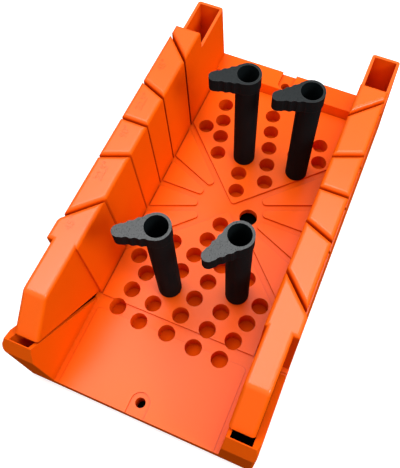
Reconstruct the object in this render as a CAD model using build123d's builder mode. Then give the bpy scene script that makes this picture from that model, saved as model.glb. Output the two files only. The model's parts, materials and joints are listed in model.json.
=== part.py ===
from build123d import *

import os
from math import asin, atan2, cos, degrees, radians, sin, sqrt, tan

# A moulded miter box for boards up to 138 mm wide, with four eccentric clamping pins.
# X runs along the channel, from the near end (-X) that the board is fed in at to the far end.
# Y runs across the channel, Z up from the underside. Lengths in mm, angles in degrees.

# Overall size of the box
length = 350.0
height = 109.0
floor_height = 18.0
near_end = -length / 2
far_end = length / 2

# Channel between the walls, measured at the floor
channel_width = 138.4
inner_draft = 1.5

# Walls: from the channel's foot to the outer face, upright above the rim line, drafted below it
wall_width = 25.4
rim_height = 89.6
rim_step = 1.0
outer_draft = 1.6

# Moulding thicknesses
skin = 2.6
floor_skin = 3.0

# Edge radii
block_edge_radius = 3.2
end_corner_radius = 2.5

# Saw slots: five upright planes through one crossing point on the floor
slot_width = 1.8
slot_angles = (-45.0, -22.5, 0.0, 22.5, 45.0)
near_slot_margin = 20.4
far_slot_margin = 10.2

# Raised pads between the grooves that carry on the slots across the floor
pad_rise = 2.0
groove_width = 6.0
pad_gap = 1.0
tip_radius = 2.8
sector_start = 30.0

# Near end: bevel slot at 45 degrees, sloped nose above it and wedge below it
near_length = 80.0
nose_run = 38.8
nose_ridge_radius = 6.0
nose_tip_lift = 2.0
nose_inner_set = 2.5
nose_inner_draft = 1.0
nose_outer_set = 2.2
bevel_angle = 45.0
bevel_start = 76.1
bevel_width = 2.6
wedge_inner_set = 1.5
wedge_inner_draft = 2.8
wedge_front_height = 70.2
wedge_tip_run = 6.7
wedge_rim = 1.2
wedge_strip_width = 5.6
wedge_shoulder = 78.0

# Bump on the outside of each wall beside the last slot
bump_rise = 2.4
bump_run = 5.0

# Outer ledge below the nose
ledge_height = 20.0

# Strip and panel at the near end of the floor
strip_length = 11.0
strip_start = 79.0
panel_rise = 0.5
panel_width = 133.0
panel_radius = 3.0

# Far end: a ledge across the channel and an open pocket in each wall
stop_length = 24.0
stop_height = 12.0
stop_slope = 2.8
pocket_floor = 4.0

# Screw holes for fastening the box to a bench, one at each end, in recesses open to the edge
screw_hole_diameter = 8.3
screw_boss_diameter = 15.0
near_screw_inset = 11.3
near_recess_width = 16.0
near_recess_depth = 1.0
far_screw_inset = 14.0
far_recess_width = 14.0
far_recess_depth = 3.6

# Round hole near the crossing, right through the floor
finger_hole_diameter = 16.0
finger_hole_offset = (-1.7, -18.2)
finger_collar_height = 7.0
finger_collar_wall = 2.0

# Peg holes: a slanting lattice at the near end and a thinner mirror image of it at the far end.
# Each column has a Y and a set along X; each row names the columns that have a hole.
peg_hole_diameter = 14.2
peg_hole_depth = 16.0
peg_rib_wall = 2.2
peg_rib_floor = 2.5
peg_row_start = 125.8
peg_row_pitch = 17.8
peg_row_shift = 4.68
peg_columns = {"a": (51.7, -4.9), "b": (29.9, -0.4), "c": (4.4, 0.0), "d": (-20.6, 2.4), "e": (-43.8, 3.0)}
near_peg_rows = ("abcde", "abcde", "abcde", "abcde", "abcd", "bc", "b")
far_peg_rows = ("", "abc", "abce", "abcde", "abcd", "bc", "b")
extra_peg_place = (73.1, 54.9)

# Clamping pins
peg_clearance = 0.07
peg_length = 15.0
stem_diameter = 19.6
stem_top = 138.0
cam_throw = 2.6
head_diameter = 21.2
head_thickness = 12.8
lever_reach = 30.5
lever_tip_radius = 4.6
lever_notches = 3
notch_radius = 4.5
notch_depth = 0.7
notch_pitch = 6.3
notch_start = 6.5
pin_bore_diameter = 17.2
pin_bore_floor = 4.0

# Where the four pins stand: column, row and side of their peg hole, and the lever's heading
pin_places = {
    "cam_pin_near_left": ("b", 2, -1, 119.5),
    "cam_pin_near_right": ("d", 3, -1, 148.0),
    "cam_pin_far_left": ("b", 4, 1, 117.0),
    "cam_pin_far_right": ("d", 4, 1, 122.0),
}

# Places and angles worked out from the sizes above
outer_top_half = channel_width / 2 + wall_width
nose_outer = outer_top_half - nose_outer_set
step_x = near_end + near_length
star_x = step_x + near_slot_margin + outer_top_half
block_end = star_x + outer_top_half + far_slot_margin
bump_end = star_x - outer_top_half
bump_half = outer_top_half + bump_rise
stop_x = far_end - stop_length
strip_x = near_end + strip_start
panel_x = strip_x - strip_length
bevel_x = near_end + bevel_start
nose_x = near_end + nose_run
pad_height = floor_height + pad_rise
core_top = height - skin
trough_top = floor_height - floor_skin
bevel_half_run = bevel_width / 2 / sin(radians(bevel_angle))
skin_lean = skin * cos(radians(bevel_angle))
wedge_tip_x = near_end + wedge_tip_run
tip_run = groove_width / 2 / sin(radians(slot_angles[-1]))
pad_half = channel_width / 2 - pad_gap
rib_bottom = pad_height - peg_hole_depth - peg_rib_floor
rib_width = peg_hole_diameter + 2 * peg_rib_wall
finger_place = (star_x + finger_hole_offset[0], finger_hole_offset[1])
mouth_x = (bevel_x + floor_height + nose_x - height) / 2
mouth_z = bevel_x + floor_height - mouth_x
near_screw_x = near_end + near_screw_inset
far_screw_x = far_end - far_screw_inset
far_recess_floor = floor_height + stop_height - far_recess_depth
stop_hollow_top = far_recess_floor - floor_skin
stop_hollow = stop_length - stop_slope - 2 * skin
slot_reach = 2 * length
stem_place = (-cam_throw, 0)
tip_distance = lever_reach - lever_tip_radius
peg_rows = {-1: near_peg_rows, 1: far_peg_rows}


def inner_half(z):
    return channel_width / 2 + (z - floor_height) * tan(radians(inner_draft))


def outer_half(z):
    return outer_top_half + rim_step + (rim_height - z) * tan(radians(outer_draft))


foot_half = outer_half(0)
ledge_width = foot_half - nose_outer + skin


def nose_inner_half(z):
    rise = (z - floor_height) * tan(radians(nose_inner_draft))
    return channel_width / 2 + nose_inner_set + rise


def wedge_inner_half(z):
    rise = (z - floor_height) * tan(radians(wedge_inner_draft))
    return channel_width / 2 + wedge_inner_set + rise


def sector_corners(first, second):
    """Return the corners of the pad between two slot directions on the +Y side of the crossing."""
    inset = groove_width / 2
    corners = []
    for angle, side in ((first, -1), (second, 1)):
        turn = radians(angle)
        ends = [sector_start, (pad_half - side * inset * sin(turn)) / cos(turn)]
        edge = [
            (
                star_x + side * inset * cos(turn) - reach * sin(turn),
                side * inset * sin(turn) + reach * cos(turn),
            )
            for reach in ends
        ]
        corners += edge if side < 0 else edge[::-1]
    return corners


def peg_place(column, row, side):
    """Return the centre of one peg hole of the near (-1) or the far (1) lattice."""
    column_y, column_set = peg_columns[column]
    reach = peg_row_start + column_set - row * peg_row_pitch
    return star_x + side * reach, column_y - row * peg_row_shift


def extra_place(side):
    """Return the centre of the single peg hole beside the near (-1) or the far (1) lattice."""
    return star_x + side * extra_peg_place[0], extra_peg_place[1]


def peg_places():
    """Return the centres of all peg holes."""
    places = []
    for side, rows in peg_rows.items():
        for row, columns in enumerate(rows):
            places += [peg_place(column, row, side) for column in columns]
        places.append(extra_place(side))
    return places


def peg_ribs():
    """Return the middle, the length and the heading of the rib under each column of peg holes."""
    ribs = []
    for side, rows in peg_rows.items():
        for column in peg_columns:
            holes = [row for row, columns in enumerate(rows) if column in columns]
            start = Vector(*peg_place(column, holes[0], side))
            end = Vector(*peg_place(column, holes[-1], side))
            heading = degrees(atan2(end.Y - start.Y, end.X - start.X))
            ribs.append(((start + end) / 2, (end - start).length + rib_width, heading))
    return ribs


def notch_centres():
    """Return the centres of the finger notches along both flanks of a lever."""
    lean = asin((head_diameter / 2 - lever_tip_radius) / tip_distance)
    away = head_diameter / 2 + notch_radius - notch_depth
    centres = []
    for number in range(lever_notches):
        along = notch_start + number * notch_pitch
        x = along * cos(lean) + away * sin(lean)
        y = away * cos(lean) - along * sin(lean)
        centres += [(stem_place[0] + x, stem_place[1] + side * y) for side in (-1, 1)]
    return centres


# Near end of the left wall above the bevel slot: set back from the channel, with a sloped nose
with BuildPart() as left_nose:
    with BuildSketch(Plane.YZ.offset(near_end)):
        Polygon(
            (nose_inner_half(floor_height), floor_height),
            (nose_inner_half(height), height),
            (nose_outer, height),
            (nose_outer, floor_height),
            align=None,
        )
    extrude(amount=near_length)
    with BuildSketch(Plane.XZ) as nose_profile:
        Polygon(
            (step_x, floor_height + nose_tip_lift),
            (mouth_x + bevel_half_run / 2, mouth_z + bevel_half_run / 2),
            (nose_x, height),
            (step_x, height),
            align=None,
        )
        ridge = nose_profile.vertices().group_by(Axis.Y)[-1].sort_by(Axis.X)[0]
        fillet(ridge, nose_ridge_radius)
    extrude(amount=-length, mode=Mode.INTERSECT)

# Left wall: upright blocks between the saw slots, with a bump outside and the nose at the near end
with BuildPart() as left_wall:
    with BuildSketch(Plane.YZ.offset(step_x)):
        Polygon(
            (inner_half(floor_height), floor_height),
            (inner_half(height), height),
            (outer_top_half, height),
            (outer_top_half, rim_height),
            (outer_half(rim_height), rim_height),
            (outer_half(floor_height), floor_height),
            align=None,
        )
    extrude(amount=block_end - step_x)
    with BuildSketch(Plane.XY.offset(floor_height)):
        Polygon(
            (step_x, outer_top_half - skin),
            (step_x, bump_half),
            (bump_end - bump_run, bump_half),
            (bump_end, outer_top_half),
            (bump_end, outer_top_half - skin),
            align=None,
        )
    extrude(amount=height - floor_height)
    add(left_nose.part)
    with BuildSketch(Plane.XY.offset(floor_height)):
        with Locations((star_x, 0)):
            for angle in slot_angles:
                Rectangle(slot_width, slot_reach, rotation=angle)
    extrude(amount=height, mode=Mode.SUBTRACT)
    slope_face = left_wall.faces().sort_by(Axis((0, 0, 0), (-1, 0, 1)))[-1]
    nose_edges = slope_face.edges().filter_by(Axis.Y, reverse=True)
    nose_edges += left_wall.edges().filter_by(GeomType.LINE, reverse=True)
    top_edges = left_wall.edges().group_by(Axis.Z)[-1]
    top_edges = top_edges.filter_by(lambda edge: edge.center().X > nose_x + nose_ridge_radius)
    fillet(top_edges + nose_edges, block_edge_radius)

# Wedge of the left wall below the bevel slot, its front leaning back above the upright end face
with BuildPart() as left_wedge:
    with BuildSketch(Plane.YZ.offset(near_end)):
        Polygon(
            (wedge_inner_half(floor_height), floor_height),
            (wedge_inner_half(height), height),
            (outer_top_half, height),
            (outer_top_half, rim_height),
            (foot_half, wedge_shoulder),
            (foot_half, floor_height),
            align=None,
        )
    extrude(amount=near_length)
    with BuildSketch(Plane.XZ):
        Polygon(
            (bevel_x - bevel_half_run, floor_height),
            (near_end, floor_height),
            (near_end, wedge_front_height),
            (wedge_tip_x, floor_height + bevel_x - bevel_half_run - wedge_tip_x),
            align=None,
        )
    extrude(amount=-length, mode=Mode.INTERSECT)

# Left side of the box above the floor, still solid
with BuildPart() as left_side:
    add(left_wall.part)
    add(left_wedge.part)
    with BuildSketch(Plane.YZ.offset(near_end)):
        with Locations((foot_half, 0)):
            Rectangle(ledge_width, ledge_height, align=(Align.MAX, Align.MIN))
    extrude(amount=near_length)
    with BuildSketch(Plane.XZ):
        Polygon(
            (bevel_x + bevel_half_run, floor_height),
            (bevel_x - bevel_half_run, floor_height),
            (bevel_x - bevel_half_run - height, floor_height + height),
            (bevel_x + bevel_half_run - height, floor_height + height),
            align=None,
        )
    extrude(amount=-length, mode=Mode.SUBTRACT)
    with BuildSketch(Plane.YZ.offset(block_end)):
        Polygon(
            (inner_half(floor_height), floor_height),
            (inner_half(rim_height), rim_height),
            (outer_half(rim_height), rim_height),
            (outer_half(floor_height), floor_height),
            align=None,
        )
    extrude(amount=far_end - block_end)

# Hollow inside the left wall, open at the underside, with a skin kept beside every slot
with BuildPart() as left_core:
    with BuildSketch(Plane.YZ.offset(step_x + skin)):
        Polygon(
            (inner_half(floor_height) + skin, 0),
            (inner_half(core_top) + skin, core_top),
            (outer_top_half - skin, core_top),
            (outer_top_half - skin, rim_height),
            (outer_half(0) - skin, 0),
            align=None,
        )
    extrude(amount=block_end - step_x - 2 * skin)
    with BuildSketch(Plane.XY.offset(trough_top)):
        with Locations((star_x, 0)):
            for angle in slot_angles:
                Rectangle(slot_width + 2 * skin, slot_reach, rotation=angle)
    extrude(amount=height, mode=Mode.SUBTRACT)

# Hollow of the nose, above the middle of the bevel slot
with BuildPart() as nose_core:
    with BuildSketch(Plane.YZ.offset(near_end)):
        Polygon(
            (nose_inner_half(floor_height) + skin, floor_height),
            (nose_inner_half(core_top) + skin, core_top),
            (nose_outer - skin, core_top),
            (nose_outer - skin, floor_height),
            align=None,
        )
    extrude(amount=near_length + skin)
    with BuildSketch(Plane.XZ):
        Polygon(
            (step_x + skin, floor_height),
            (bevel_x, floor_height),
            (mouth_x + skin_lean, mouth_z - skin_lean),
            (nose_x + skin * tan(radians(bevel_angle / 2)), core_top),
            (step_x + skin, core_top),
            align=None,
        )
    extrude(amount=-length, mode=Mode.INTERSECT)

# Hollow of the wedge, open to the bevel slot and to the underside
with BuildPart() as wedge_core:
    with BuildSketch(Plane.YZ.offset(near_end)):
        Polygon(
            (wedge_inner_half(floor_height) + skin, 0),
            (wedge_inner_half(floor_height) + skin, floor_height),
            (wedge_inner_half(height) + skin, height),
            (foot_half - wedge_strip_width, height),
            (foot_half - wedge_strip_width, 0),
            align=None,
        )
    extrude(amount=near_length + skin)
    with BuildSketch(Plane.XZ):
        Polygon(
            (step_x + skin, 0),
            (near_end + skin, 0),
            (near_end + skin, wedge_front_height),
            (wedge_tip_x + wedge_rim, floor_height + bevel_x - wedge_tip_x - wedge_rim),
            (bevel_x, floor_height),
            (step_x + skin, floor_height),
            align=None,
        )
    extrude(amount=-length, mode=Mode.INTERSECT)

# The whole box
with BuildPart() as miter_box:
    with BuildSketch(Plane.YZ.offset(near_end)):
        Polygon(
            (-foot_half, 0),
            (foot_half, 0),
            (outer_half(floor_height), floor_height),
            (-outer_half(floor_height), floor_height),
            align=None,
        )
    extrude(amount=length)
    add(left_side.part)
    mirror(left_side.part, about=Plane.XZ)

    # Ledge across the far end
    with BuildSketch(Plane.XZ):
        Polygon(
            (stop_x, floor_height),
            (stop_x + stop_slope, floor_height + stop_height),
            (far_end, floor_height + stop_height),
            (far_end, floor_height),
            align=None,
        )
    extrude(amount=(channel_width + skin) / 2, both=True)

    # Rounded upright corners at both ends
    end_edges = miter_box.edges().filter_by(lambda edge: abs(edge.tangent_at(0.5).Z) > 0.99)
    near_corners = end_edges.group_by(Axis.X)[0]
    outer_corners = near_corners.filter_by(lambda edge: abs(edge.center().Y) > nose_outer)
    fillet(end_edges.group_by(Axis.X)[-1] + outer_corners, end_corner_radius)

    # Pads on the floor
    with BuildSketch(Plane.XY.offset(floor_height)) as pads:
        with BuildLine():
            Polyline(
                (star_x + tip_run, 0),
                (star_x + tip_run + pad_half, pad_half),
                (stop_x, pad_half),
                (stop_x, -pad_half),
                (star_x + tip_run + pad_half, -pad_half),
                close=True,
            )
        make_face()
        with BuildLine():
            Polyline(
                (star_x - tip_run, 0),
                (star_x - tip_run - pad_half, pad_half),
                (strip_x, pad_half),
                (strip_x, -pad_half),
                (star_x - tip_run - pad_half, -pad_half),
                close=True,
            )
        make_face()
        for first, second in zip(slot_angles, slot_angles[1:]):
            with BuildLine():
                Polyline(*sector_corners(first, second), close=True)
            make_face()
            with BuildLine():
                Polyline(*[(x, -y) for x, y in sector_corners(first, second)], close=True)
            make_face()
        tips = pads.vertices().filter_by(
            lambda vertex: sqrt((vertex.X - star_x) ** 2 + vertex.Y**2) < sector_start + groove_width
        )
        fillet(tips, tip_radius)
    extrude(amount=pad_rise)

    # Panel at the near end
    with BuildSketch(Plane.XY.offset(floor_height)) as panel:
        with Locations((near_end, 0)):
            Rectangle(panel_x - near_end, panel_width, align=(Align.MIN, Align.CENTER))
        fillet(panel.vertices().group_by(Axis.X)[-1], panel_radius)
    extrude(amount=panel_rise)

    # Hollow underside, deeper below the ledge
    with BuildSketch(Plane.XY):
        with Locations((near_end + skin, 0)):
            Rectangle(length - 2 * skin, channel_width, align=(Align.MIN, Align.CENTER))
    extrude(amount=trough_top, mode=Mode.SUBTRACT)
    with BuildSketch(Plane.XY):
        with Locations((far_end - skin, 0)):
            Rectangle(stop_hollow, channel_width - 2 * skin, align=(Align.MAX, Align.CENTER))
    extrude(amount=stop_hollow_top, mode=Mode.SUBTRACT)
    for core in (left_core, nose_core, wedge_core):
        add(core.part, mode=Mode.SUBTRACT)
        mirror(core.part, about=Plane.XZ, mode=Mode.SUBTRACT)

    # Ribs below the peg holes, bosses below the screw holes and a collar below the round hole
    with BuildSketch(Plane.XY.offset(rib_bottom)):
        for middle, run, heading in peg_ribs():
            with Locations(middle):
                Rectangle(run, rib_width, rotation=heading)
        with Locations(*[extra_place(side) for side in (-1, 1)]):
            Rectangle(rib_width, rib_width)
    extrude(amount=trough_top - rib_bottom)
    with BuildSketch(Plane.XY):
        with Locations((near_screw_x, 0)):
            Circle(screw_boss_diameter / 2)
    extrude(amount=trough_top)
    with BuildSketch(Plane.XY):
        with Locations((far_screw_x, 0)):
            Circle(screw_boss_diameter / 2)
    extrude(amount=stop_hollow_top)
    with BuildSketch(Plane.XY.offset(floor_height - finger_collar_height)):
        with Locations(finger_place):
            Circle(finger_hole_diameter / 2 + finger_collar_wall)
    extrude(amount=finger_collar_height - floor_skin)

    # Pockets at the far end of the walls
    with BuildSketch(Plane.YZ.offset(block_end)):
        Polygon(
            (inner_half(pocket_floor) + skin, pocket_floor),
            (inner_half(rim_height) + skin, rim_height),
            (outer_half(rim_height) - skin, rim_height),
            (outer_half(pocket_floor) - skin, pocket_floor),
            align=None,
        )
        mirror(about=Plane.YZ)
    extrude(amount=far_end - block_end - skin, mode=Mode.SUBTRACT)

    # Holes
    with BuildSketch(Plane.XY.offset(pad_height - peg_hole_depth)):
        with Locations(*peg_places()):
            Circle(peg_hole_diameter / 2)
    extrude(amount=peg_hole_depth, mode=Mode.SUBTRACT)
    with BuildSketch(Plane.XY):
        with Locations(finger_place):
            Circle(finger_hole_diameter / 2)
        with Locations((near_screw_x, 0), (far_screw_x, 0)):
            Circle(screw_hole_diameter / 2)
    extrude(amount=height, mode=Mode.SUBTRACT)

    # Recesses around the screw holes, open to the ends
    with BuildSketch(Plane.XY.offset(floor_height - near_recess_depth)):
        with Locations((near_screw_x, 0)):
            Circle(near_recess_width / 2)
            Rectangle(near_screw_inset, near_recess_width, align=(Align.MAX, Align.CENTER))
    extrude(amount=height, mode=Mode.SUBTRACT)
    with BuildSketch(Plane.XY.offset(far_recess_floor)):
        with Locations((far_screw_x, 0)):
            Circle(far_recess_width / 2)
            Rectangle(far_screw_inset, far_recess_width, align=(Align.MIN, Align.CENTER))
    extrude(amount=height, mode=Mode.SUBTRACT)

miter_box.part.label = "miter_box_body"

# Clamping pin, its peg on the Z axis and its lever along +X: an eccentric hollow stem on a peg
with BuildPart() as cam_pin:
    with BuildSketch(Plane.XY.offset(pad_height - peg_length)):
        Circle(peg_hole_diameter / 2 - peg_clearance)
    extrude(amount=peg_length)
    with BuildSketch(Plane.XY.offset(pad_height)):
        with Locations(stem_place):
            Circle(stem_diameter / 2)
    extrude(amount=stem_top - pad_height)
    with BuildSketch(Plane.XY.offset(stem_top - head_thickness)):
        with Locations(stem_place):
            Circle(head_diameter / 2)
        with Locations((stem_place[0] + tip_distance, stem_place[1])):
            Circle(lever_tip_radius)
        make_hull()
        with Locations(*notch_centres()):
            Circle(notch_radius, mode=Mode.SUBTRACT)
    extrude(amount=head_thickness)
    with BuildSketch(Plane.XY.offset(stem_top)):
        with Locations(stem_place):
            Circle(pin_bore_diameter / 2)
    extrude(amount=pad_height + pin_bore_floor - stem_top, mode=Mode.SUBTRACT)

os.makedirs("parts", exist_ok=True)
export_step(miter_box.part, "parts/miter_box_body.step")
for name, (column, row, side, heading) in pin_places.items():
    with BuildPart() as placed_pin:
        with Locations(Location((*peg_place(column, row, side), 0), (0, 0, heading))):
            add(cam_pin.part)
    placed_pin.part.label = name
    export_step(placed_pin.part, f"parts/{name}.step")
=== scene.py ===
"""Looks of a moulded miter box with four cam pins: finishes, angle marks, studio and camera."""

import json
import logging
import math
from dataclasses import dataclass, field
from enum import Enum

import bmesh
import bpy
from mathutils import Matrix, Vector

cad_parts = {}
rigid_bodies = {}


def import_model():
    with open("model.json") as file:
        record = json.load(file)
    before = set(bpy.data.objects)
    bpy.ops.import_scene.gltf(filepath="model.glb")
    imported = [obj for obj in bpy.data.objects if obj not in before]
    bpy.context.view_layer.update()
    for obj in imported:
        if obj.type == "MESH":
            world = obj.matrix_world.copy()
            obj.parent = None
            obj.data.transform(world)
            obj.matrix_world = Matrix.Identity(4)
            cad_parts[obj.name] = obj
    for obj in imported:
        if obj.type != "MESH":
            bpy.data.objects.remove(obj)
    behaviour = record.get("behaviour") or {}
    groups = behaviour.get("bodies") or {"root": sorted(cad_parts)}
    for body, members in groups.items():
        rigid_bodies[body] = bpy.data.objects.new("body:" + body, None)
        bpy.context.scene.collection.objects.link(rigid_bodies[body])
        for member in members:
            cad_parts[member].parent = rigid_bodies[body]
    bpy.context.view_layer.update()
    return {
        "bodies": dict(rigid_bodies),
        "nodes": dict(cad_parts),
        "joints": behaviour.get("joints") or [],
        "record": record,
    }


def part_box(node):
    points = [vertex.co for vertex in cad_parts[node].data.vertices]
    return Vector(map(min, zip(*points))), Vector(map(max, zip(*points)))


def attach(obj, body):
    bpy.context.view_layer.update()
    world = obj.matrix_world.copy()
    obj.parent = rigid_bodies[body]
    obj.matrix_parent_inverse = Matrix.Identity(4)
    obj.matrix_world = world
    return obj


LOG = logging.getLogger("miter_box")

BOX_BODY = "box"
BOX_NODE = "miter_box_body"
PHOTO_WIDTH = 400
PHOTO_HEIGHT = 468
WHITE = (1.0, 1.0, 1.0, 1.0)


class Slot(Enum):
    """Material slots of the record that added pieces use."""

    ORANGE = "orange_plastic"


def socket(tree: bpy.types.NodeTree, name: str, kind: str, way: str = "INPUT") -> None:
    """Add a named socket to a node group.

    Args:
        tree: The group that gets the socket.
        name: The socket's name.
        kind: The socket's type, such as NodeSocketFloat.
        way: INPUT or OUTPUT.
    """
    tree.interface.new_socket(name=name, in_out=way, socket_type=kind)


def node(tree: bpy.types.NodeTree, kind: str, **settings: object) -> bpy.types.Node:
    """Add a node and set its properties.

    Args:
        tree: The tree that gets the node.
        kind: The node's type name.
        **settings: Properties of the node and their values.

    Returns:
        The new node.
    """
    made = tree.nodes.new(kind)
    for name, value in settings.items():
        setattr(made, name, value)
    return made


@dataclass(frozen=True)
class GrainGroup:
    """Shared node group: the fine grain of a moulded plastic surface, with slow unevenness."""

    name: str = "Moulded grain"
    cloud_detail: float = 3.0
    grain_detail: float = 5.0
    noise_sum: float = 1.0

    def tree(self) -> bpy.types.NodeTree:
        """Return the group, building it the first time."""
        found = bpy.data.node_groups.get(self.name)
        return found if found else self._build()

    def _build(self) -> bpy.types.NodeTree:
        """Build the group.

        Returns:
            A group with the inputs Grain Scale, Cloud Scale, Roughness and Spread, and the
            outputs Height, Cloud and Roughness.
        """
        tree = bpy.data.node_groups.new(self.name, "ShaderNodeTree")
        for name in ("Grain Scale", "Cloud Scale", "Roughness", "Spread"):
            socket(tree, name, "NodeSocketFloat")
        for name in ("Height", "Cloud", "Roughness"):
            socket(tree, name, "NodeSocketFloat", way="OUTPUT")
        start = node(tree, "NodeGroupInput")
        end = node(tree, "NodeGroupOutput")
        place = node(tree, "ShaderNodeTexCoord")
        fine = node(tree, "ShaderNodeTexNoise")
        fine.inputs["Detail"].default_value = self.grain_detail
        cloud = node(tree, "ShaderNodeTexNoise")
        cloud.inputs["Detail"].default_value = self.cloud_detail
        links = tree.links
        for texture, scale in ((fine, "Grain Scale"), (cloud, "Cloud Scale")):
            links.new(place.outputs["Object"], texture.inputs["Vector"])
            links.new(start.outputs[scale], texture.inputs["Scale"])
        blend = node(tree, "ShaderNodeMath", operation="ADD")
        links.new(fine.outputs["Fac"], blend.inputs[0])
        links.new(cloud.outputs["Fac"], blend.inputs[1])
        centred = node(tree, "ShaderNodeMath", operation="SUBTRACT")
        centred.inputs[1].default_value = self.noise_sum
        links.new(blend.outputs[0], centred.inputs[0])
        rough = node(tree, "ShaderNodeMath", operation="MULTIPLY_ADD", use_clamp=True)
        links.new(centred.outputs[0], rough.inputs[0])
        links.new(start.outputs["Spread"], rough.inputs[1])
        links.new(start.outputs["Roughness"], rough.inputs[2])
        links.new(fine.outputs["Fac"], end.inputs["Height"])
        links.new(cloud.outputs["Fac"], end.inputs["Cloud"])
        links.new(rough.outputs[0], end.inputs["Roughness"])
        return tree


@dataclass(frozen=True)
class EdgeGroup:
    """Shared node group: softened moulding edges and a mask of where they lie, which also carries
    the painted edge highlight.
    """

    name: str = "Soft edges"
    samples: int = 6
    sharpness: float = 4.0

    def tree(self) -> bpy.types.NodeTree:
        """Return the group, building it the first time."""
        found = bpy.data.node_groups.get(self.name)
        return found if found else self._build()

    def _build(self) -> bpy.types.NodeTree:
        """Build the group.

        Returns:
            A group with the input Radius, and the outputs Normal and Edge.
        """
        tree = bpy.data.node_groups.new(self.name, "ShaderNodeTree")
        socket(tree, "Radius", "NodeSocketFloat")
        socket(tree, "Normal", "NodeSocketVector", way="OUTPUT")
        socket(tree, "Edge", "NodeSocketFloat", way="OUTPUT")
        start = node(tree, "NodeGroupInput")
        end = node(tree, "NodeGroupOutput")
        rounded = node(tree, "ShaderNodeBevel", samples=self.samples)
        shape = node(tree, "ShaderNodeNewGeometry")
        alike = node(tree, "ShaderNodeVectorMath", operation="DOT_PRODUCT")
        away = node(tree, "ShaderNodeMath", operation="SUBTRACT")
        away.inputs[0].default_value = 1.0
        mask = node(tree, "ShaderNodeMath", operation="MULTIPLY", use_clamp=True)
        mask.inputs[1].default_value = self.sharpness
        links = tree.links
        links.new(start.outputs["Radius"], rounded.inputs["Radius"])
        links.new(rounded.outputs["Normal"], alike.inputs[0])
        links.new(shape.outputs["Normal"], alike.inputs[1])
        links.new(alike.outputs["Value"], away.inputs[1])
        links.new(away.outputs[0], mask.inputs[0])
        links.new(rounded.outputs["Normal"], end.inputs["Normal"])
        links.new(mask.outputs[0], end.inputs["Edge"])
        return tree


@dataclass(frozen=True)
class SheenGroup:
    """Shared node group: how much sheen a face has, by how far it looks up and how high it lies."""

    name: str = "Sheen by facing"
    low: tuple[float, float] = (0.030, 0.060)
    lowest: float = 0.0165
    facing: tuple[float, float] = (0.3, 0.9)

    def tree(self) -> bpy.types.NodeTree:
        """Return the group, building it the first time."""
        found = bpy.data.node_groups.get(self.name)
        return found if found else self._build()

    def _build(self) -> bpy.types.NodeTree:
        """Build the group.

        Returns:
            A group with the inputs Side, Floor and Top, and the output Sheen.
        """
        tree = bpy.data.node_groups.new(self.name, "ShaderNodeTree")
        for name in ("Side", "Floor", "Top"):
            socket(tree, name, "NodeSocketFloat")
        socket(tree, "Sheen", "NodeSocketFloat", way="OUTPUT")
        start = node(tree, "NodeGroupInput")
        end = node(tree, "NodeGroupOutput")
        place = node(tree, "ShaderNodeTexCoord")
        links = tree.links
        upward, spreads = [], []
        for source, (least, most) in (("Object", self.low), ("Normal", self.facing)):
            parts = node(tree, "ShaderNodeSeparateXYZ")
            spread = node(tree, "ShaderNodeMapRange")
            spread.inputs["From Min"].default_value = least
            spread.inputs["From Max"].default_value = most
            links.new(place.outputs[source], parts.inputs["Vector"])
            links.new(parts.outputs["Z"], spread.inputs["Value"])
            upward.append(parts.outputs["Z"])
            spreads.append(spread)
        height = upward[0]
        by_height, by_facing = spreads
        above = node(tree, "ShaderNodeMath", operation="GREATER_THAN")
        above.inputs[1].default_value = self.lowest
        links.new(height, above.inputs[0])
        open_face = node(tree, "ShaderNodeMath", operation="MULTIPLY")
        links.new(by_height.outputs["Result"], open_face.inputs[0])
        links.new(above.outputs[0], open_face.inputs[1])
        links.new(start.outputs["Floor"], by_height.inputs["To Min"])
        links.new(start.outputs["Top"], by_height.inputs["To Max"])
        links.new(start.outputs["Side"], by_facing.inputs["To Min"])
        links.new(open_face.outputs[0], by_facing.inputs["To Max"])
        links.new(by_facing.outputs["Result"], end.inputs["Sheen"])
        return tree


@dataclass(frozen=True)
class CreviceShadeGroup:
    """Shared node group: a mask of painted shade in grooves, inner corners and holes, from ambient
    occlusion.
    """

    name: str = "Painted crevice shade"
    samples: int = 8

    def tree(self) -> bpy.types.NodeTree:
        """Return the group, building it the first time."""
        found = bpy.data.node_groups.get(self.name)
        return found if found else self._build()

    def _build(self) -> bpy.types.NodeTree:
        """Build the group.

        Returns:
            A group with the inputs Reach and Share, and the output Depth.
        """
        tree = bpy.data.node_groups.new(self.name, "ShaderNodeTree")
        socket(tree, "Reach", "NodeSocketFloat")
        socket(tree, "Share", "NodeSocketFloat")
        socket(tree, "Depth", "NodeSocketFloat", way="OUTPUT")
        start = node(tree, "NodeGroupInput")
        end = node(tree, "NodeGroupOutput")
        # Ambient occlusion gives the mask of painted shade in grooves, inner corners and holes.
        open_share = node(tree, "ShaderNodeAmbientOcclusion", samples=self.samples)
        closed = node(tree, "ShaderNodeMath", operation="SUBTRACT")
        closed.inputs[0].default_value = 1.0
        shade_amount = node(tree, "ShaderNodeMath", operation="MULTIPLY")
        links = tree.links
        links.new(start.outputs["Reach"], open_share.inputs["Distance"])
        links.new(open_share.outputs["AO"], closed.inputs[1])
        links.new(closed.outputs[0], shade_amount.inputs[0])
        links.new(start.outputs["Share"], shade_amount.inputs[1])
        links.new(shade_amount.outputs[0], end.inputs["Depth"])
        return tree


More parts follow.
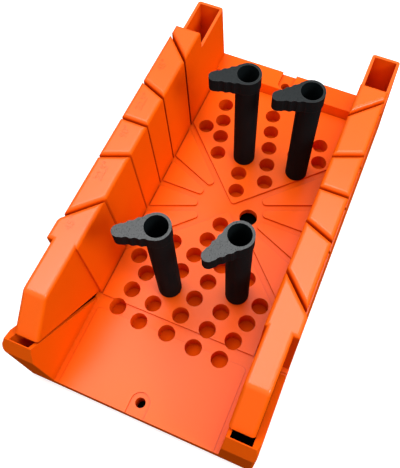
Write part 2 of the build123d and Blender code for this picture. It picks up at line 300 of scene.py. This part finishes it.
@dataclass(frozen=True)
class MouldedPlastic:
    """A moulded plastic finish with grain, soft edges with a painted highlight, painted shade in
    crevices and sheen on open faces.
    """

    name: str
    base: tuple[float, float, float]
    cloud: tuple[float, float, float]
    # The colour of the painted highlight along the edges.
    edge_highlight: tuple[float, float, float]
    roughness: float
    roughness_spread: float
    grain_scale: float
    cloud_scale: float
    grain_depth: float
    edge_radius: float
    edge_highlight_share: float
    specular: float
    side_sheen: float
    floor_sheen: float
    top_sheen: float
    sheen_roughness: float
    # The colour, reach and share of the painted shade in grooves, inner corners and holes.
    crevice_shade_colour: tuple[float, float, float]
    crevice_shade_reach: float
    crevice_shade_share: float
    sheen_grain: float
    grain: GrainGroup = GrainGroup()
    edges: EdgeGroup = EdgeGroup()
    sheen: SheenGroup = SheenGroup()
    crevice_shade: CreviceShadeGroup = CreviceShadeGroup()

    def material(self) -> bpy.types.Material:
        """Return the material, building it the first time."""
        found = bpy.data.materials.get(self.name)
        return found if found else self._build()

    def _build(self) -> bpy.types.Material:
        """Build the material.

        Returns:
            A node material with one Principled shader.
        """
        material = bpy.data.materials.new(self.name)
        material.use_nodes = True
        tree = material.node_tree
        links = tree.links
        shader = tree.nodes["Principled BSDF"]
        shader.inputs["Specular IOR Level"].default_value = self.specular
        shader.inputs["Coat Roughness"].default_value = self.sheen_roughness
        sheen = node(tree, "ShaderNodeGroup", node_tree=self.sheen.tree())
        sheen.inputs["Side"].default_value = self.side_sheen
        sheen.inputs["Floor"].default_value = self.floor_sheen
        sheen.inputs["Top"].default_value = self.top_sheen
        grain = node(tree, "ShaderNodeGroup", node_tree=self.grain.tree())
        grain.inputs["Grain Scale"].default_value = self.grain_scale
        grain.inputs["Cloud Scale"].default_value = self.cloud_scale
        grain.inputs["Roughness"].default_value = self.roughness
        grain.inputs["Spread"].default_value = self.roughness_spread
        # The grain's height lies around 0.5, so the speckle stays around 1.
        speckle = node(tree, "ShaderNodeMath", operation="MULTIPLY_ADD")
        speckle.inputs[1].default_value = 2.0 * self.sheen_grain
        speckle.inputs[2].default_value = 1.0 - self.sheen_grain
        uneven = node(tree, "ShaderNodeMath", operation="MULTIPLY", use_clamp=True)
        links.new(grain.outputs["Height"], speckle.inputs[0])
        links.new(speckle.outputs[0], uneven.inputs[0])
        links.new(sheen.outputs["Sheen"], uneven.inputs[1])
        links.new(uneven.outputs[0], shader.inputs["Coat Weight"])
        soft = node(tree, "ShaderNodeGroup", node_tree=self.edges.tree())
        soft.inputs["Radius"].default_value = self.edge_radius
        tint = node(tree, "ShaderNodeMix", data_type="RGBA")
        tint.inputs["A"].default_value = (*self.base, 1.0)
        tint.inputs["B"].default_value = (*self.cloud, 1.0)
        # Painted highlight: along the edges the colour lightens toward the edge highlight colour.
        highlight_share = node(tree, "ShaderNodeMath", operation="MULTIPLY")
        highlight_share.inputs[1].default_value = self.edge_highlight_share
        painted_highlight = node(tree, "ShaderNodeMix", data_type="RGBA")
        painted_highlight.inputs["B"].default_value = (*self.edge_highlight, 1.0)
        bump = node(tree, "ShaderNodeBump")
        bump.inputs["Distance"].default_value = self.grain_depth
        links.new(grain.outputs["Cloud"], tint.inputs["Factor"])
        links.new(tint.outputs["Result"], painted_highlight.inputs["A"])
        links.new(soft.outputs["Edge"], highlight_share.inputs[0])
        links.new(highlight_share.outputs[0], painted_highlight.inputs["Factor"])
        # Painted shade: the colour darkens toward the crevice colour in grooves, inner corners and
        # holes.
        crevice_shade_node = node(tree, "ShaderNodeGroup", node_tree=self.crevice_shade.tree())
        crevice_shade_node.inputs["Reach"].default_value = self.crevice_shade_reach
        crevice_shade_node.inputs["Share"].default_value = self.crevice_shade_share
        shaded_base = node(tree, "ShaderNodeMix", data_type="RGBA")
        shaded_base.inputs["B"].default_value = (*self.crevice_shade_colour, 1.0)
        links.new(crevice_shade_node.outputs["Depth"], shaded_base.inputs["Factor"])
        links.new(painted_highlight.outputs["Result"], shaded_base.inputs["A"])
        links.new(shaded_base.outputs["Result"], shader.inputs["Base Color"])
        links.new(grain.outputs["Roughness"], shader.inputs["Roughness"])
        links.new(grain.outputs["Height"], bump.inputs["Height"])
        links.new(soft.outputs["Normal"], bump.inputs["Normal"])
        links.new(bump.outputs["Normal"], shader.inputs["Normal"])
        return material


ORANGE_PLASTIC = MouldedPlastic(
    name="Orange plastic",
    base=(0.92, 0.108, 0.001),
    cloud=(0.96, 0.120, 0.002),
    # Painted highlight along the edges.
    edge_highlight=(0.98, 0.155, 0.02),
    roughness=0.36,
    roughness_spread=0.10,
    grain_scale=1500.0,
    cloud_scale=18.0,
    grain_depth=0.00003,
    edge_radius=0.0007,
    edge_highlight_share=0.5,
    specular=0.0,
    side_sheen=0.03,
    floor_sheen=0.36,
    top_sheen=0.95,
    sheen_roughness=0.27,
    # Painted shade in grooves, inner corners and holes.
    crevice_shade_colour=(0.38, 0.018, 0.001),
    crevice_shade_reach=0.011,
    crevice_shade_share=0.58,
    sheen_grain=0.3,
)

BLACK_PLASTIC = MouldedPlastic(
    name="Black plastic",
    base=(0.0065, 0.0095, 0.0105),
    cloud=(0.0100, 0.0135, 0.0145),
    # Painted highlight along the edges.
    edge_highlight=(0.12, 0.12, 0.125),
    roughness=0.40,
    roughness_spread=0.14,
    grain_scale=900.0,
    cloud_scale=60.0,
    grain_depth=0.00006,
    edge_radius=0.0005,
    edge_highlight_share=0.6,
    specular=0.0,
    side_sheen=0.04,
    floor_sheen=0.1,
    top_sheen=1.0,
    sheen_roughness=0.20,
    # Painted shade in grooves, inner corners and holes.
    crevice_shade_colour=(0.003, 0.003, 0.003),
    crevice_shade_reach=0.004,
    crevice_shade_share=0.5,
    sheen_grain=1.1,
)


@dataclass
class MouldedBox:
    """The box: one orange moulding."""

    frame: dict
    finish: MouldedPlastic = ORANGE_PLASTIC

    def dress(self) -> None:
        """Give the moulding its finish."""
        dress_node(self.frame, BOX_NODE, self.finish)


@dataclass
class CamPins:
    """The four clamping pins, all the same black moulding."""

    frame: dict
    finish: MouldedPlastic = BLACK_PLASTIC
    name_start: str = "cam_pin_"

    def dress(self) -> None:
        """Give every pin its finish."""
        for name in sorted(self.frame["nodes"]):
            if name.startswith(self.name_start):
                dress_node(self.frame, name, self.finish)


def dress_node(frame: dict, name: str, finish: MouldedPlastic) -> None:
    """Put a finish on every material slot of a node.

    Args:
        frame: The loaded frame.
        name: The node's name.
        finish: The finish for it.
    """
    piece = frame["nodes"][name]
    if not piece.material_slots:
        piece.data.materials.append(finish.material())
    for place in piece.material_slots:
        place.material = finish.material()
    LOG.info("dressed %s with %s", name, finish.name)


@dataclass(frozen=True)
class Mark:
    """One angle mark on top of the left wall: its figures and where their middle lies."""

    text: str
    x: float
    y: float


@dataclass
class AngleMarks:
    """The raised angle figures on top of the left wall, beside the slot that each names."""

    letter_size: float = 0.0085
    rise: float = 0.00022
    sunk: float = 0.0001
    weld: float = 0.000001
    marks: list[Mark] = field(
        default_factory=lambda: [
            Mark("45°", -0.0786, 0.0855),
            Mark("22.5°", -0.0306, 0.0845),
            Mark("90°", 0.0081, 0.0848),
            Mark("22.5°", 0.0395, 0.0850),
            Mark("45°", 0.0797, 0.0860),
        ]
    )

    def tree(self) -> bpy.types.NodeTree:
        """Build the node tree that raises one line of figures.

        Returns:
            A geometry node tree with the inputs Figures, Letter Size, Rise, Place and Finish.
        """
        tree = bpy.data.node_groups.new("Raised figures", "GeometryNodeTree")
        socket(tree, "Geometry", "NodeSocketGeometry")
        socket(tree, "Figures", "NodeSocketString")
        socket(tree, "Letter Size", "NodeSocketFloat")
        socket(tree, "Rise", "NodeSocketFloat")
        socket(tree, "Place", "NodeSocketVector")
        socket(tree, "Finish", "NodeSocketMaterial")
        socket(tree, "Geometry", "NodeSocketGeometry", way="OUTPUT")
        start = node(tree, "NodeGroupInput")
        end = node(tree, "NodeGroupOutput")
        words = node(tree, "GeometryNodeStringToCurves", align_x="CENTER", align_y="MIDDLE")
        plain = node(tree, "GeometryNodeRealizeInstances")
        fill = node(tree, "GeometryNodeFillCurve", mode="TRIANGLES")
        under = node(tree, "GeometryNodeFlipFaces")
        up = node(tree, "ShaderNodeCombineXYZ")
        raised = node(tree, "GeometryNodeExtrudeMesh", mode="FACES")
        raised.inputs["Individual"].default_value = False
        both = node(tree, "GeometryNodeJoinGeometry")
        closed = node(tree, "GeometryNodeMergeByDistance")
        closed.inputs["Distance"].default_value = self.weld
        placed = node(tree, "GeometryNodeTransform")
        whole = node(tree, "GeometryNodeRealizeInstances")
        painted = node(tree, "GeometryNodeSetMaterial")
        links = tree.links
        links.new(start.outputs["Figures"], words.inputs["String"])
        links.new(start.outputs["Letter Size"], words.inputs["Size"])
        links.new(words.outputs["Curve Instances"], plain.inputs["Geometry"])
        links.new(plain.outputs["Geometry"], fill.inputs["Curve"])
        links.new(fill.outputs["Mesh"], raised.inputs["Mesh"])
        links.new(fill.outputs["Mesh"], under.inputs["Mesh"])
        links.new(start.outputs["Rise"], up.inputs["Z"])
        links.new(up.outputs["Vector"], raised.inputs["Offset"])
        links.new(raised.outputs["Mesh"], both.inputs["Geometry"])
        links.new(under.outputs["Mesh"], both.inputs["Geometry"])
        links.new(both.outputs["Geometry"], closed.inputs["Geometry"])
        links.new(closed.outputs["Geometry"], placed.inputs["Geometry"])
        links.new(start.outputs["Place"], placed.inputs["Translation"])
        links.new(placed.outputs["Geometry"], whole.inputs["Geometry"])
        links.new(whole.outputs["Geometry"], painted.inputs["Geometry"])
        links.new(start.outputs["Finish"], painted.inputs["Material"])
        links.new(painted.outputs["Geometry"], end.inputs["Geometry"])
        return tree

    def build(self, top: float, finish: MouldedPlastic) -> bpy.types.Object:
        """Make the marks as one piece that rides on the box.

        Args:
            top: Height of the wall's top face.
            finish: The finish of the figures.

        Returns:
            The finished piece.
        """
        tree = self.tree()
        whole = bmesh.new()
        for mark in self.marks:
            blank = bpy.data.objects.new("blank", bpy.data.meshes.new("blank"))
            bpy.context.scene.collection.objects.link(blank)
            modifier = blank.modifiers.new("figures", "NODES")
            modifier.node_group = tree
            values = {
                "Figures": mark.text,
                "Letter Size": self.letter_size,
                "Rise": self.rise + self.sunk,
                "Place": (mark.x, mark.y, top - self.sunk),
                "Finish": finish.material(),
            }
            for item in tree.interface.items_tree:
                if item.in_out == "INPUT" and item.name in values:
                    modifier[item.identifier] = values[item.name]
            blank.update_tag()
            graph = bpy.context.evaluated_depsgraph_get()
            mesh = bpy.data.meshes.new_from_object(blank.evaluated_get(graph))
            whole.from_mesh(mesh)
            bpy.data.objects.remove(blank)
            bpy.data.meshes.remove(mesh)
        mesh = bpy.data.meshes.new("angle_marks")
        whole.to_mesh(mesh)
        whole.free()
        mesh.materials.append(finish.material())
        piece = bpy.data.objects.new("angle_marks", mesh)
        bpy.context.scene.collection.objects.link(piece)
        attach(piece, BOX_BODY)
        LOG.info("built %s with %d faces", piece.name, len(mesh.polygons))
        return piece


@dataclass(frozen=True)
class SoftBox:
    """A flat lamp that gives soft light."""

    name: str
    place: tuple[float, float, float]
    target: tuple[float, float, float]
    width: float
    shade_amount: float
    power: float

    def build(self) -> None:
        """Hang the lamp and point it at its target."""
        data = bpy.data.lights.new(self.name, "AREA")
        data.shape = "RECTANGLE"
        data.size = self.width
        data.size_y = self.shade_amount
        data.energy = self.power
        lamp = bpy.data.objects.new(self.name, data)
        way = Vector(self.target) - Vector(self.place)
        lamp.matrix_world = (
            Matrix.Translation(self.place) @ way.to_track_quat("-Z", "Y").to_matrix().to_4x4()
        )
        bpy.context.scene.collection.objects.link(lamp)
        LOG.info("hung %s", self.name)


@dataclass
class Studio:
    """The plain pale floor, the white surroundings and the lamps."""

    floor_half: float = 6.0
    seen_colour: tuple[float, float, float] = (0.80, 0.80, 0.80)
    bounce_colour: tuple[float, float, float] = (0.05, 0.05, 0.05)
    floor_lift: float = 0.45
    # Painted shade on the floor below the box, seen through the box's holes and slots.
    painted_shade_colour: tuple[float, float, float] = (0.004, 0.004, 0.004)
    covered_half: tuple[float, float] = (0.172, 0.094)
    background: float = 1.0
    sky: float = 0.60
    horizon: float = 0.42
    clear_height: float = 0.6
    lamps: tuple[SoftBox, ...] = (
        SoftBox("overhead", (0.27, 0.08, 1.5), (0.27, 0.08, 0.0), 1.05, 1.40, 15.5),
        SoftBox("rear left", (0.06, 0.46, 1.5), (0.06, 0.46, 0.0), 0.42, 0.52, 4.5),
        SoftBox("right side", (-0.20, -1.04, 1.10), (0.0, 0.0, 0.05), 0.45, 0.45, 9.5),
    )

    def floor_paint(self) -> bpy.types.Material:
        """Build the floor's paint: white where it is seen, dull in its bounce, painted shade below
        the box.

        Returns:
            The floor's material.
        """
        material = bpy.data.materials.new("Pale floor")
        material.use_nodes = True
        tree = material.node_tree
        tree.nodes.clear()
        links = tree.links
        rays = node(tree, "ShaderNodeLightPath")
        colour = node(tree, "ShaderNodeMix", data_type="RGBA")
        colour.inputs["A"].default_value = (*self.bounce_colour, 1.0)
        colour.inputs["B"].default_value = (*self.seen_colour, 1.0)
        links.new(rays.outputs["Is Camera Ray"], colour.inputs["Factor"])
        # Painted shade: inside the box's footprint the floor takes the near-black shade colour.
        painted_floor_shade = node(tree, "ShaderNodeMix", data_type="RGBA")
        painted_floor_shade.inputs["A"].default_value = (*self.painted_shade_colour, 1.0)
        links.new(colour.outputs["Result"], painted_floor_shade.inputs["B"])
        paint = node(tree, "ShaderNodeBsdfDiffuse")
        links.new(painted_floor_shade.outputs["Result"], paint.inputs["Color"])
        place = node(tree, "ShaderNodeTexCoord")
        parts = node(tree, "ShaderNodeSeparateXYZ")
        links.new(place.outputs["Object"], parts.inputs["Vector"])
        outside = node(tree, "ShaderNodeMath", operation="MAXIMUM")
        for number, (axis, half) in enumerate(zip("XY", self.covered_half)):
            size = node(tree, "ShaderNodeMath", operation="ABSOLUTE")
            beyond = node(tree, "ShaderNodeMath", operation="GREATER_THAN")
            beyond.inputs[1].default_value = half
            links.new(parts.outputs[axis], size.inputs[0])
            links.new(size.outputs[0], beyond.inputs[0])
            links.new(beyond.outputs[0], outside.inputs[number])
        links.new(outside.outputs[0], painted_floor_shade.inputs["Factor"])
        seen = node(tree, "ShaderNodeMath", operation="MULTIPLY")
        links.new(rays.outputs["Is Camera Ray"], seen.inputs[0])
        links.new(outside.outputs[0], seen.inputs[1])
        lift = node(tree, "ShaderNodeMath", operation="MULTIPLY")
        lift.inputs[1].default_value = self.floor_lift
        links.new(seen.outputs[0], lift.inputs[0])
        glow = node(tree, "ShaderNodeEmission")
        links.new(lift.outputs[0], glow.inputs["Strength"])
        both = node(tree, "ShaderNodeAddShader")
        links.new(paint.outputs[0], both.inputs[0])
        links.new(glow.outputs[0], both.inputs[1])
        out = node(tree, "ShaderNodeOutputMaterial")
        links.new(both.outputs[0], out.inputs["Surface"])
        return material

    def floor(self) -> None:
        """Lay the floor that the box stands on."""
        half = self.floor_half
        mesh = bpy.data.meshes.new("floor")
        corners = [(-half, -half, 0.0), (half, -half, 0.0), (half, half, 0.0), (-half, half, 0.0)]
        mesh.from_pydata(corners, [], [(0, 1, 2, 3)])
        mesh.materials.append(self.floor_paint())
        floor = bpy.data.objects.new("floor", mesh)
        bpy.context.scene.collection.objects.link(floor)

    def surroundings(self) -> None:
        """Light everything a little from all sides, and show plain white behind the box."""
        world = bpy.data.worlds.new("surroundings")
        bpy.context.scene.world = world
        world.use_nodes = True
        tree = world.node_tree
        tree.nodes.clear()
        rays = node(tree, "ShaderNodeLightPath")
        strength = node(tree, "ShaderNodeMix", data_type="FLOAT")
        place = node(tree, "ShaderNodeTexCoord")
        parts = node(tree, "ShaderNodeSeparateXYZ")
        dimming = node(tree, "ShaderNodeMapRange")
        dimming.inputs["From Max"].default_value = self.clear_height
        dimming.inputs["To Min"].default_value = self.sky * self.horizon
        dimming.inputs["To Max"].default_value = self.sky
        strength.inputs["B"].default_value = self.background
        glow = node(tree, "ShaderNodeBackground")
        glow.inputs["Color"].default_value = WHITE
        out = node(tree, "ShaderNodeOutputWorld")
        links = tree.links
        links.new(rays.outputs["Is Camera Ray"], strength.inputs["Factor"])
        links.new(place.outputs["Generated"], parts.inputs["Vector"])
        links.new(parts.outputs["Z"], dimming.inputs["Value"])
        links.new(dimming.outputs["Result"], strength.inputs["A"])
        links.new(strength.outputs["Result"], glow.inputs["Strength"])
        links.new(glow.outputs[0], out.inputs["Surface"])

    def build(self) -> None:
        """Build the floor, the surroundings and the lamps."""
        self.floor()
        self.surroundings()
        for lamp in self.lamps:
            lamp.build()


@dataclass(frozen=True)
class PhotoCamera:
    """The camera at the photograph's place, angle and framing; focal and centre are in pixels."""

    place: tuple[float, float, float] = (-0.21447, -0.09267, 0.50953)
    target: tuple[float, float, float] = (0.01480, 0.01118, 0.0)
    roll: float = -1.5475
    focal: float = 613.4
    centre_x: float = 216.7
    centre_y: float = 218.3
    sensor: float = 24.0
    nearest: float = 0.01
    furthest: float = 30.0

    def build(self) -> None:
        """Make the camera and use it for the scene."""
        data = bpy.data.cameras.new("photo camera")
        data.sensor_fit = "VERTICAL"
        data.sensor_height = self.sensor
        data.lens = self.focal / PHOTO_HEIGHT * self.sensor
        data.shift_x = (PHOTO_WIDTH / 2 - self.centre_x) / PHOTO_HEIGHT
        data.shift_y = (self.centre_y - PHOTO_HEIGHT / 2) / PHOTO_HEIGHT
        data.clip_start = self.nearest
        data.clip_end = self.furthest
        camera = bpy.data.objects.new("photo camera", data)
        way = Vector(self.target) - Vector(self.place)
        aim = way.to_track_quat("-Z", "Y").to_matrix().to_4x4()
        turn = Matrix.Rotation(math.radians(self.roll), 4, "Z")
        camera.matrix_world = Matrix.Translation(self.place) @ aim @ turn
        bpy.context.scene.collection.objects.link(camera)
        bpy.context.scene.camera = camera


def main() -> None:
    """Load the frame, dress it, and set up the studio and the camera."""
    logging.basicConfig(level=logging.INFO, format="%(name)s: %(message)s")
    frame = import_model()
    bpy.context.scene.view_settings.view_transform = "Standard"
    MouldedBox(frame).dress()
    CamPins(frame).dress()
    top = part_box(BOX_NODE)[1][2]
    AngleMarks().build(top, ORANGE_PLASTIC)
    Studio().build()
    PhotoCamera().build()


if __name__ == "__main__":
    main()
